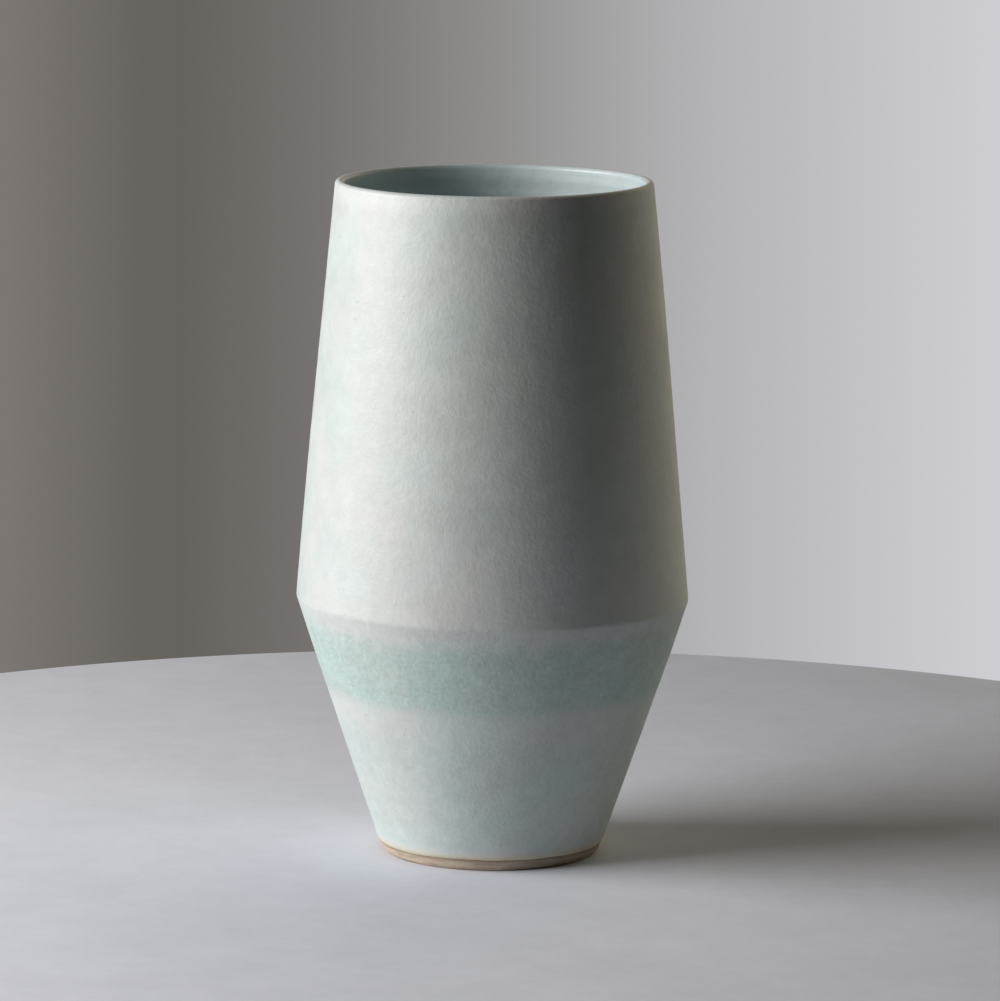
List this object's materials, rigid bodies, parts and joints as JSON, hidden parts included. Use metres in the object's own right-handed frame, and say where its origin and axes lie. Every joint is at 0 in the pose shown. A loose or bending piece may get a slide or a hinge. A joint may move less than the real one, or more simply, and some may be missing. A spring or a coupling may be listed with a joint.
{
  "type": "stoneware vase",
  "caption": "Tall round stoneware vase: a flared lower part, a sharp shoulder and a tapered upper part with a plain round lip, glazed inside and out.",
  "frame": {"origin": "centre of the foot, on the plane the vase rests on", "axes": "+Z is the vase's own axis, from the foot to the mouth; the vase is round, so +X and +Y are free"},
  "size_m": [0.1508, 0.1506, 0.26],
  "materials": {
    "bare_clay": "matt, turned",
    "luting_slip": "matt",
    "lower_glaze": "satin",
    "band_glaze": "satin",
    "upper_glaze": "satin",
    "liner_glaze": "satin to gloss"
  },
  "bodies": {
    "root": {"lower_body": "bare_clay", "upper_body": "bare_clay", "joint_slip": "luting_slip", "lower_glaze": "lower_glaze", "band_glaze": "band_glaze", "upper_glaze": "upper_glaze", "liner_glaze": "liner_glaze"}
  },
  "joints": []
}
